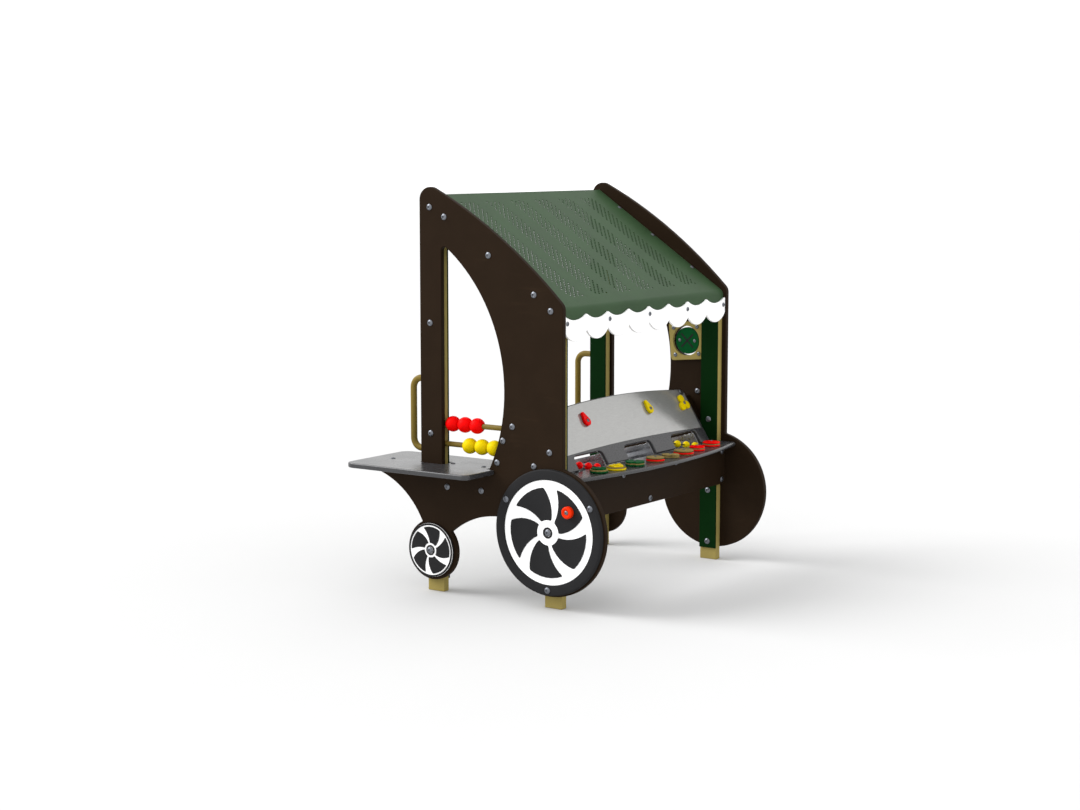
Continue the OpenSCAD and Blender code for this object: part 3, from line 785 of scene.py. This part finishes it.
@dataclass
class Roof:
    """The folded and perforated roof sheet with its side flanges and rear lip."""

    shop: Workshop
    pitch: float = math.radians(33.9)
    gauge: float = 3 * MM
    bend: float = 26 * MM
    skirt: float = 82 * MM
    fold_in: float = 11.5 * MM
    bands: int = 6
    band_pitch: float = 170 * MM
    band_width: float = 99 * MM
    strokes: int = 24
    hole: float = 5.0 * MM
    hole_pitch: float = 14.6 * MM
    hole_sides: int = 12
    first: float = 54 * MM
    last: float = 680 * MM
    low: Vector = field(init=False)
    high: Vector = field(init=False)

    def __post_init__(self) -> None:
        """Reads the sheet's box from the frame."""
        self.low, self.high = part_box("roof_sheet")
        self.fold = self.low.y + self.fold_in
        self.length = (self.high.y - self.fold) / math.cos(self.pitch)

    def point(self, x: float, s: float) -> Vector:
        """Bends the flat sheet.

        Args:
            x: The place across the sheet.
            s: The distance up the slope from the fold, negative past it.

        Returns:
            The place on the sheet's upper side.
        """
        fold_z = self.low.z + self.skirt
        if s >= 0:
            return Vector((x, self.fold + s * math.cos(self.pitch), fold_z + s * math.sin(self.pitch)))
        arc = (math.pi / 2 - self.pitch) * self.bend
        angle = self.pitch + min(-s, arc) / self.bend
        y = self.fold - self.bend * (math.sin(angle) - math.sin(self.pitch))
        z = fold_z - self.bend * (math.cos(self.pitch) - math.cos(angle))
        return Vector((x, y, z - max(0.0, -s - arc)))

    def holes(self) -> list[Point]:
        """Places the holes: bands of slanting strokes.

        Returns:
            The middles, across the sheet and up its slope.
        """
        middle = (self.low.x + self.high.x) / 2
        spots = []
        stroke_pitch = (self.last - self.first) / self.strokes
        run = self.hole_pitch / math.sqrt(2)
        reach = int(self.band_width / 2 / run)
        for band in range(self.bands):
            x = middle + (band - (self.bands - 1) / 2) * self.band_pitch
            for stroke in range(-2, self.strokes + 2):
                s = self.first + (stroke + 0.5) * stroke_pitch
                for k in range(-reach, reach + 1):
                    if self.first <= s + k * run <= self.last:
                        spots.append((x + k * run, s + k * run))
        return spots

    def sheet(self) -> bmesh.types.BMesh:
        """Cuts the flat sheet with its holes and bends it.

        Returns:
            The bent sheet's upper side.
        """
        arc = (math.pi / 2 - self.pitch) * self.bend
        fold_z = self.low.z + self.skirt
        drop = fold_z - self.bend * math.cos(self.pitch) - self.low.z
        rows = [-arc - drop, *[-arc * k / 8 for k in range(8, -1, -1)], self.length]
        ring = [(self.low.x, s) for s in rows] + [(self.high.x, s) for s in rows]
        points = [Vector(p) for p in ring]
        count = len(rows)
        edges = [(k, k + count) for k in range(count)]
        edges += [(k + side, k + 1 + side) for k in range(count - 1) for side in (0, count)]
        owner = [-1] * len(points)
        for number, spot in enumerate(self.holes()):
            start = len(points)
            points += [Vector(p) for p in circle(self.hole, self.hole_sides, spot)]
            owner += [number] * self.hole_sides
            edges += [(start + k, start + (k + 1) % self.hole_sides) for k in range(self.hole_sides)]
        verts, _, faces, origins, _, _ = delaunay_2d_cdt(points, edges, [], 0, 1e-7, True)
        hole_of = [owner[o[0]] if o else -1 for o in origins]
        form = bmesh.new()
        made = [form.verts.new(self.point(p.x, p.y)) for p in verts]
        for face in faces:
            owners = {hole_of[k] for k in face}
            if len(owners) > 1 or owners == {-1}:
                form.faces.new([made[k] for k in face])
        return form

    def build(self) -> None:
        """Makes the sheet, its flanges and its lip."""
        form = self.sheet()
        for face in form.faces:
            face.normal_update()
            if face.normal.z < 0 or (abs(face.normal.z) < 0.01 and face.normal.y > 0):
                face.normal_flip()
        bmesh.ops.solidify(form, geom=form.faces[:], thickness=self.gauge)
        self.shop.piece("roof_sheet_perforated", form, Look.ROOF, "frame", ["roof_sheet"])
        self.flanges()

    def flanges(self) -> None:
        """Makes the folded side flanges and the rear lip."""
        form = bmesh.new()
        top = self.length - 10 * MM
        foot = 90 * MM
        deep = 52 * MM
        for x in (self.low.x, self.high.x - self.gauge):
            spots = [(foot, 2 * MM), (top, 2 * MM), (top, 8 * MM), (top - 70 * MM, deep), (foot, deep)]
            place = Matrix.Translation((x, 0, 0)) @ Matrix(((0, 0, 1), (1, 0, 0), (0, 1, 0))).to_4x4()
            outline = [(self.point(0, s).y, self.point(0, s).z - down) for s, down in spots]
            prism(form, outline, 0, self.gauge, place)
        back = self.high.y
        crest = self.point(0, self.length).z
        side = self.high.x - 60 * MM, self.low.x + 60 * MM
        lip = [(side[1], crest - 30 * MM), (side[0], crest - 30 * MM)]
        lip += [(side[0], crest - 1 * MM), (side[1], crest - 1 * MM)]
        place = Matrix.Translation((0, back, 0)) @ Matrix(((1, 0, 0), (0, 0, -1), (0, 1, 0))).to_4x4()
        prism(form, fillet(lip, 8 * MM), 0, self.gauge, place)
        self.shop.piece("roof_flanges", form, Look.ROOF, "frame", edge=0.6 * MM)


@dataclass
class Fasteners:
    """Domed button heads with a hexagon socket, and the axle and pivot bolts."""

    shop: Workshop
    sides: int = 24

    def head(self, form: bmesh.types.BMesh, place: Matrix, radius: float, height: float) -> None:
        """Adds one head.

        Args:
            form: The mesh that it is added to.
            place: Its frame, on the face.
            radius: Its radius.
            height: Its height.
        """
        socket = 0.44 * radius
        dome = [(radius * math.cos(t), height * (0.3 + 0.7 * math.sin(t))) for t in (0, 0.35, 0.7, 1.0)]
        profile = [(radius * 0.98, 0.0), *dome, (socket * 1.12, height), (socket, height * 0.93)]
        profile += [(socket * 0.96, height * 0.35), (0, height * 0.3)]
        inner = len(profile) - 3

        def hexagon(index: int, angle: float) -> float:
            """Gives the radius factor of the socket's rings."""
            if index < inner:
                return 1.0
            return 0.87 / math.cos((angle + math.pi / 6) % (math.pi / 3) - math.pi / 6)

        lathe(form, profile, place, self.sides, hexagon)

    def build(self) -> None:
        """Makes the heads in the place of the plain CAD ones."""
        form = bmesh.new()
        for button in self.shop.buttons("frame_bolts"):
            self.head(form, facing(button.middle, button.axis), button.radius, button.height)
        self.shop.piece("frame_button_heads", form, Look.BOLT, "frame", ["frame_bolts"])
        sizes = {"axle_bolts": (13, 5), "pivot_bolts": (7.5, 3), "food_pins": (5.6, 2.2)}
        for node, (radius, height) in sizes.items():
            form = bmesh.new()
            for pin in self.shop.buttons(node):
                length = pin.height - height * MM
                lathe(form, [(5 * MM, 0), (5 * MM, length)], facing(pin.middle, pin.axis), 16)
                top = facing(pin.middle + pin.axis * length, pin.axis)
                self.head(form, top, radius * MM, height * MM)
            self.shop.piece(f"{node}_heads", form, Look.BOLT, "frame", [node])


def fan_blade(inner: float, outer: float, trailing: Point, leading: Point, steps: int = 7) -> list[Point]:
    """Draws a curved fan blade between two swept edges.

    Args:
        inner: The radius of its inner edge.
        outer: The radius of its outer edge.
        trailing: The first edge's angle at the inner and the outer radius, in degrees.
        leading: The second edge's angles.
        steps: The parts of each edge.

    Returns:
        The blade's outline; the angles start at -Y and turn towards -X.
    """

    def spot(radius: float, degrees: float) -> Point:
        """Gives the point at a radius and an angle."""
        angle = math.radians(degrees)
        return (-radius * math.sin(angle), -radius * math.cos(angle))

    def swept(edge: Point) -> list[Point]:
        """Gives the points of one edge from the inner radius out."""
        shares = [k / steps for k in range(steps + 1)]
        return [spot(inner + (outer - inner) * k, edge[0] + (edge[1] - edge[0]) * k**1.15) for k in shares]

    rim = [spot(outer, trailing[1] + (leading[1] - trailing[1]) * k / 6) for k in range(1, 6)]
    hub = [spot(inner, leading[0] + (trailing[0] - leading[0]) * k / 6) for k in range(1, 6)]
    return swept(trailing) + rim + swept(leading)[::-1] + hub


@dataclass
class Wheel:
    """One wheel-shaped play disc on the outer face of a side panel."""

    shop: Workshop
    side: str
    big: bool
    pitch: float = math.radians(72)

    def __post_init__(self) -> None:
        """Finds the wheel's axle on its panel."""
        node = f"wheel_{self.side}" if self.big else f"small_wheel_{self.side}"
        self.sign = -1 if self.side == "near" else 1
        low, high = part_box(node)
        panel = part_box(f"panel_{self.side}")
        face = panel[0].x if self.sign < 0 else panel[1].x
        self.radius = (high.z - low.z) / 2
        middle = Vector((face, (low.y + high.y) / 2, (low.z + high.z) / 2))
        turn = Matrix(((0, 0, self.sign), (0, 1, 0), (-1, 0, 0)))
        self.place = Matrix.Translation(middle) @ turn.to_4x4()

    def ring(
        self, name: str, profile: Sequence[Point], look: Look, body: str, nodes: Sequence[str] = ()
    ) -> None:
        """Makes a turned ring.

        Args:
            name: Its name.
            profile: Its closed profile of radius and height, in millimetres.
            look: Its finish.
            body: The body that it rides on.
            nodes: The CAD nodes that it replaces.
        """
        form = bmesh.new()
        points = [(r * MM, z * MM) for r, z in [*profile, profile[0]]]
        lathe(form, points, self.place, 120)
        self.shop.piece(name, form, look, body, nodes)

    def build(self) -> None:
        """Makes the wheel."""
        if self.big:
            self.build_big()
        else:
            self.build_small()

    def build_big(self) -> None:
        """Makes the fixed black tyre, the turning white disc, its blades and its knob."""
        body = f"wheel_{self.side}"
        low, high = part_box(f"tyre_{self.side}")
        outer = (high.z - low.z) / 2 / MM
        inner = self.radius / MM + 1.2
        deep = (high.x - low.x) / MM
        roll = [(outer - 6 + 6 * math.sin(t), deep - 6 + 6 * math.cos(t)) for t in (1.57, 1.2, 0.8, 0.4, 0)]
        lip = [(inner + 3 - 3 * math.sin(t), deep - 3 + 3 * math.cos(t)) for t in (0, 0.5, 1.0, 1.57)]
        self.ring(f"tyre_{self.side}_ring", [(inner, 0), (outer, 0), *roll, *lip], Look.BLACK, "frame",
                  [f"tyre_{self.side}"])
        self.shop.soften(body, Look.DISC, 0.8 * MM)
        self.shop.soften(f"blades_{self.side}", Look.BLACK, 0.5 * MM, 7 * MM, Vector((1, 0, 0)))
        cap = [(14.4, 15.5), (21.5, 15.5), (21.5, 17.2), (20.7, 18), (15.2, 18), (14.4, 17.2)]
        self.ring(f"hub_cap_{self.side}", cap, Look.BLACK, body)
        self.knob(body)

    def knob(self, body: str) -> None:
        """Makes the red knob with its bolt.

        Args:
            body: The wheel's body.
        """
        node = f"knob_{self.side}"
        low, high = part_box(node)
        foot = high.x if self.sign < 0 else low.x
        middle = Vector((foot, (low.y + high.y) / 2, (low.z + high.z) / 2))
        place = facing(middle, Vector((self.sign, 0, 0)))
        outer = (high.z - low.z) / 2
        tall = high.x - low.x
        form = bmesh.new()
        edge = 5 * MM
        rise = tall * 0.62
        turns = (1.57, 1.2, 0.8, 0.4, 0)
        crown = [(outer - edge * (1 - math.sin(t)), rise + edge * (1 - math.cos(1.57 - t))) for t in turns]
        dish = [(outer * 0.62, rise + 4.6 * MM), (outer * 0.44, rise + 1.5 * MM), (0, rise + 1.2 * MM)]
        lathe(form, [(outer - 2 * MM, 0), (outer, 3 * MM), *crown, *dish], place, 64)
        self.shop.piece(f"{node}_turned", form, Look.ORANGE, body, [node])
        form = bmesh.new()
        out = place.col[2].xyz
        Fasteners(self.shop).head(form, facing(middle + out * (rise + 1.1 * MM), out), 8.5 * MM, 4 * MM)
        self.shop.piece(f"{node}_bolt", form, Look.BOLT, body)

    def build_small(self) -> None:
        """Makes the small wheel: black body, white layer, black rim ring, hub and blades."""
        body = f"small_{self.side}"
        r = self.radius / MM
        core = [(8.1, 1), (r - 1, 1), (r, 2), (r, 9.4), (r - 0.4, 9.8), (8.1, 9.8)]
        self.ring(f"{body}_core", core, Look.BLACK, body, [f"small_wheel_{self.side}"])
        layer = [(8.1, 9.8), (r - 0.5, 9.8), (r - 0.3, 10.2), (r - 0.3, 12.6), (r - 0.7, 13), (8.1, 13)]
        self.ring(f"{body}_layer", layer, Look.DISC, body)
        rim = [(0.925 * r, 13), (0.992 * r, 13), (0.992 * r, 15), (0.982 * r, 16)]
        rim += [(0.935 * r, 16), (0.925 * r, 15)]
        self.ring(f"{body}_rim", rim, Look.BLACK, body)
        hub = [(14.4, 13), (0.19 * r, 13), (0.19 * r, 15), (0.18 * r, 16), (15, 16), (14.4, 15.4)]
        self.ring(f"{body}_hub", hub, Look.BLACK, body)
        blade = fillet(fan_blade(0.27 * self.radius, 0.87 * self.radius, (37, 61), (95, 111)), 3 * MM)
        form = bmesh.new()
        for k in range(5):
            turned = self.place @ Matrix.Rotation(self.pitch * k, 4, "Z")
            prism(form, blade, 13 * MM, 15 * MM, turned)
        self.shop.piece(f"{body}_blades", form, Look.BLACK, body, edge=0.4 * MM)


@dataclass
class PlayParts:
    """The abacus, the turners on the board, the flip disc and the balls."""

    shop: Workshop

    def build(self) -> None:
        """Makes the play parts."""
        for look, colour in ((Look.RED_BEAD, "red"), (Look.YELLOW_BEAD, "yellow")):
            for k in (1, 2, 3):
                self.shop.soften(f"bead_{colour}_{k}", look, 3 * MM)
        turners = {"turner_red": Look.RED, "turner_yellow": Look.YELLOW, "turner_trio": Look.YELLOW}
        for node, look in turners.items():
            self.shop.soften(node, look, 3 * MM)
        self.flip_disc()
        self.trays()
        for node, look in (("balls_red", Look.RED), ("balls_yellow", Look.YELLOW)):
            self.shop.soften(node, look, 1 * MM)
        for node in ("handle_near", "handle_far", "abacus_rods"):
            self.shop.carry(node, Look.TUBE)
        self.shop.carry("tray_wires", Look.BLACK)
        self.shop.carry("spinner_rod", Look.STEEL)

    def flip_disc(self) -> None:
        """Makes the green disc that flips in the far panel, with its crosses and bolts."""
        low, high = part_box("spinner_disc")
        middle = (low + high) / 2
        radius = (high.z - low.z) / 2
        half = (high.x - low.x) / 2 - 3 * MM
        place = facing(middle, Vector((1, 0, 0)))
        rim = 1.2 * MM
        form = bmesh.new()
        profile = [(0, -half), (radius - rim, -half), (radius, rim - half)]
        profile += [(radius, half - rim), (radius - rim, half), (0, half)]
        lathe(form, profile, place, 96)
        self.shop.piece("flip_disc", form, Look.FOOD_GREEN, "spinner", ["spinner_disc"])
        crosses = bmesh.new()
        bolts = bmesh.new()
        arm, arm_half = 41 * MM, 3.2 * MM
        for sign in (-1, 1):
            face = facing(middle + Vector((sign * half, 0, 0)), Vector((sign, 0, 0)))
            for turn in (45, 135):
                bar = [(x * arm, y * arm_half) for x, y in ((-1, -1), (1, -1), (1, 1), (-1, 1))]
                lean = face @ Matrix.Rotation(math.radians(turn), 4, "Z")
                prism(crosses, fillet(bar, 2 * MM), -0.5 * MM, (0.5 + turn / 900) * MM, lean)
            for side in (-1, 1):
                spot = face.translation + Vector((0, side * 0.644 * radius, 0))
                Fasteners(self.shop).head(bolts, facing(spot, Vector((sign, 0, 0))), 7 * MM, 2.8 * MM)
        self.shop.piece("flip_disc_crosses", crosses, Look.BLACK, "spinner")
        self.shop.piece("flip_disc_bolts", bolts, Look.BOLT, "spinner")

    def trays(self) -> None:
        """Makes the folded steel trays behind the board's openings."""
        low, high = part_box("trays")
        wide = 190 * MM
        fold = [(0, 27), (0, 0), (90.5, 0), (90.5, 56), (88.5, 56), (87, 36.5), (89.5, 36.5), (89.5, 32.5),
                (86.5, 32.5), (82.5, 17), (66.5, 3.5), (2, 3), (2, 27)]
        cheek = [(1, 1), (7.9, 19.7), (39.2, 70.8), (89.5, 56), (89.5, 1)]
        turn = Matrix(((0, 0, 1), (1, 0, 0), (0, 1, 0))).to_4x4()
        form = bmesh.new()
        for x in (low.x, (low.x + high.x - wide) / 2, high.x - wide):
            place = Matrix.Translation((x, low.y, low.z)) @ turn
            prism(form, [(y * MM, z * MM) for y, z in fold], 2 * MM, wide - 2 * MM, place)
            for start in (0.0, wide - 2 * MM):
                prism(form, [(y * MM, z * MM) for y, z in cheek], start, start + 2 * MM, place)
        self.shop.piece("trays_folded", form, Look.STEEL, "frame", ["trays"], edge=0.4 * MM)


@dataclass
class Layer:
    """One layer of a piece of play food: its outline, its heights and its finish."""

    outline: list[Point]
    low: float
    high: float
    look: Look
    edge: float = 1.4


def turned(outline: Sequence[Point], degrees: float) -> list[Point]:
    """Gives an outline turned about its pin."""
    cos, sin = math.cos(math.radians(degrees)), math.sin(math.radians(degrees))
    return [(x * cos - y * sin, x * sin + y * cos) for x, y in outline]


@dataclass
class PlayFood:
    """The layered shapes that turn on pins along the counter."""

    shop: Workshop
    pepper_turn: float = -70.0
    bean_turn: float = -59.0

    def build(self) -> None:
        """Makes every shape on its pin."""
        pins = self.shop.buttons("food_pins")
        recipes = [
            ("food_lettuce", self.lettuce()),
            ("food_cheese", self.cheese()),
            ("food_pepper", self.pepper()),
            ("food_burger", self.bun(36)),
            ("food_bean", self.bean()),
            ("food_sandwich", self.bun(40)),
            ("food_tomato", self.dome(33, 0.03, 0.5)),
            ("food_apple", self.dome(37, 0.0, 0.42)),
        ]
        for pin, (node, layers) in zip(pins, recipes):
            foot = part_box(node)[0].z
            place = Matrix.Translation((pin.middle.x, pin.middle.y, foot))
            for number, layer in enumerate(layers):
                self.layer(node, number, layer, place)

    def layer(self, node: str, number: int, layer: Layer, place: Matrix) -> None:
        """Makes one layer.

        Args:
            node: The CAD node of the food.
            number: The layer's number from the counter up.
            layer: The layer.
            place: The frame of the pin.
        """
        form = bmesh.new()
        prism(form, [(x * MM, y * MM) for x, y in layer.outline], layer.low * MM, layer.high * MM, place)
        self.shop.piece(f"{node}_layer_{number}", form, layer.look, node, [node], layer.edge * MM)

    @staticmethod
    def wavy(radius: float, wave: float, lobes: int) -> list[Point]:
        """Gives a round outline whose edge waves.

        Args:
            radius: Its largest radius in millimetres.
            wave: The share by which the edge waves.
            lobes: The number of waves.

        Returns:
            The points.
        """
        turns = [math.tau * k / 96 for k in range(96)]
        edge = [(radius * (1 - wave + wave * math.cos(lobes * t)), t) for t in turns]
        return [(r * math.cos(t), r * math.sin(t)) for r, t in edge]

    def lettuce(self) -> list[Layer]:
        """Gives the lettuce: a round base, a wavy tan leaf and a smaller green top."""
        return [
            Layer(circle(36, 96), 0, 6.5, Look.FOOD_GREEN, 2),
            Layer(self.wavy(35.5, 0.035, 11), 6.5, 12, Look.FOOD_TAN, 1.2),
            Layer(self.wavy(30, 0.06, 9), 12, 18, Look.FOOD_GREEN, 2.2),
        ]

    def bun(self, radius: float) -> list[Layer]:
        """Gives a tan bun with a thick red filling under a thin green leaf.

        Args:
            radius: Its radius in millimetres.

        Returns:
            The layers.
        """
        return [
            Layer(circle(radius - 0.5, 96), 0, 3, Look.FOOD_TAN, 1),
            Layer(circle(radius + 1.4, 96), 3, 11, Look.RED, 2.6),
            Layer(circle(radius + 0.6, 96), 11, 13, Look.FOOD_GREEN, 0.6),
            Layer(circle(radius, 96), 13, 18, Look.FOOD_TAN, 2),
        ]

    def cheese(self) -> list[Layer]:
        """Gives the cheese wedge on its round layers."""
        slab = fillet([(-33, -10), (4, -33), (33, -8), (20, 24), (-20, 22)], 7)
        wedge = fillet([(-12, -22), (24, -9), (16, 13), (-10, 8)], 4)
        return [
            Layer(circle(41, 96), 0, 6, Look.YELLOW, 2),
            Layer(circle(37.5, 96), 6, 11, Look.FOOD_TAN, 1),
            Layer(slab, 11, 17, Look.YELLOW, 2),
            Layer(wedge, 17, 21, Look.YELLOW, 1.5),
        ]

    def pepper(self) -> list[Layer]:
        """Gives the pepper ring with its notch."""

        def notched(radius: float) -> list[Point]:
            """Gives a round outline with a round notch at the front."""
            cut, notch = 42.0, 12.0
            half = math.acos((radius**2 + cut**2 - notch**2) / (2 * radius * cut))
            rim = [-math.pi / 2 + half + (math.tau - 2 * half) * k / 80 for k in range(81)]
            outline = [(radius * math.cos(t), radius * math.sin(t)) for t in rim]
            side = math.acos((notch**2 + cut**2 - radius**2) / (2 * notch * cut))
            bite = [math.pi / 2 + side - 2 * side * k / 12 for k in range(1, 12)]
            outline += [(notch * math.cos(t), -cut + notch * math.sin(t)) for t in bite]
            return turned(outline, self.pepper_turn)

        return [
            Layer(notched(38), 0, 6.8, Look.FOOD_GREEN, 2),
            Layer(notched(36.5), 6.8, 12, Look.FOOD_TAN, 1),
            Layer(notched(38), 12, 18, Look.FOOD_GREEN, 2),
        ]

    def bean(self) -> list[Layer]:
        """Gives the tan bean in two halves."""
        turns = [math.tau * k / 96 for k in range(96)]
        radii = [(29 + 7 * math.cos(2 * t) - 6 * math.exp(-(((t - 4.71) / 0.42) ** 2)), t) for t in turns]
        outline = turned([(r * math.cos(t), r * math.sin(t) * 0.92 + 1) for r, t in radii], self.bean_turn)
        inner = [(x * 0.965, y * 0.965) for x, y in outline]
        return [
            Layer(outline, 0, 7, Look.FOOD_TAN, 2.4),
            Layer(inner, 7, 8, Look.FOOD_TAN, 0.3),
            Layer(outline, 8, 15, Look.FOOD_TAN, 2.4),
        ]

    def dome(self, radius: float, wave: float, crown: float) -> list[Layer]:
        """Gives a red piece with a raised middle on a tan layer.

        Args:
            radius: Its radius in millimetres.
            wave: The share by which its top edge waves.
            crown: The raised middle's share of the radius.

        Returns:
            The layers.
        """
        return [
            Layer(circle(radius, 96), 0, 6.8, Look.RED, 2.2),
            Layer(circle(radius - 1.5, 96), 6.8, 11.5, Look.FOOD_TAN, 1),
            Layer(self.wavy(radius, wave, 8), 11.5, 18, Look.RED, 3),
            Layer(circle(radius * crown), 18, 20.5, Look.RED, 2),
        ]


@dataclass
class Studio:
    """A pale floor, soft light from the left and the camera."""

    station: tuple[float, float, float] = (-6.879, -4.658, 1.748)
    azimuth: float = math.radians(-55.19)
    elevation: float = math.radians(7.13)
    lens: float = 68.37
    sun: float = 2.6
    sun_from: tuple[float, float, float] = (-0.35, 0.7, 0.62)

    def build(self) -> None:
        """Sets the studio up."""
        self.floor()
        self.lights()
        self.camera()
        bpy.context.scene.view_settings.view_transform = "Standard"

    def floor(self) -> None:
        """Makes the floor."""
        graph = Graph("studio_floor")
        cloud = graph.noise(1.5, 2)
        base = graph.mix(cloud, (0.54, 0.54, 0.54, 1), (0.56, 0.56, 0.56, 1))
        graph.relief([(graph.noise(0.02, 2), 0.02 * MM)])
        material = graph.dress(Base_Color=base, Roughness=0.9)
        form = bmesh.new()
        bmesh.ops.create_grid(form, x_segments=2, y_segments=2, size=60)
        mesh = bpy.data.meshes.new("studio_floor")
        form.to_mesh(mesh)
        form.free()
        mesh.materials.append(material)
        floor = bpy.data.objects.new("studio_floor", mesh)
        bpy.context.scene.collection.objects.link(floor)

    def lights(self) -> None:
        """Makes the world's light and the soft key."""
        world = bpy.data.worlds.new("studio_world")
        bpy.context.scene.world = world
        world.use_nodes = True
        background = world.node_tree.nodes["Background"]
        background.inputs[0].default_value = (1, 1, 1, 1)
        background.inputs[1].default_value = 1.3
        data = bpy.data.lights.new("key", "SUN")
        data.energy = self.sun
        data.angle = math.radians(36)
        lamp = bpy.data.objects.new("key", data)
        lamp.rotation_euler = Vector(self.sun_from).to_track_quat("Z", "Y").to_euler()
        bpy.context.scene.collection.objects.link(lamp)

    def camera(self) -> None:
        """Makes the camera."""
        data = bpy.data.cameras.new("camera")
        data.lens = self.lens
        data.sensor_width = 36
        camera = bpy.data.objects.new("camera", data)
        level = math.cos(self.elevation)
        back = Vector((math.sin(self.azimuth), -math.cos(self.azimuth), 0)) * level
        back.z = math.sin(self.elevation)
        camera.location = self.station
        camera.rotation_euler = back.to_track_quat("Z", "Y").to_euler()
        bpy.context.scene.collection.objects.link(camera)
        bpy.context.scene.camera = camera


def corners(bounds: Sequence[Sequence[float]]) -> list[list[float]]:
    """Gives a box's two corners as plain lists."""
    return [[round(float(c), 5) for c in corner] for corner in bounds]


def main() -> None:
    """Builds the cart and the studio round the frame."""
    logging.basicConfig(level=logging.INFO, format="%(name)s: %(message)s")
    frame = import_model()
    shop = Workshop(frame)
    Studio().build()
    Boards(shop).build()
    Roof(shop).build()
    Fasteners(shop).build()
    for side in ("near", "far"):
        Wheel(shop, side, True).build()
        Wheel(shop, side, False).build()
    PlayParts(shop).build()
    PlayFood(shop).build()


if __name__ == "__main__":
    main()
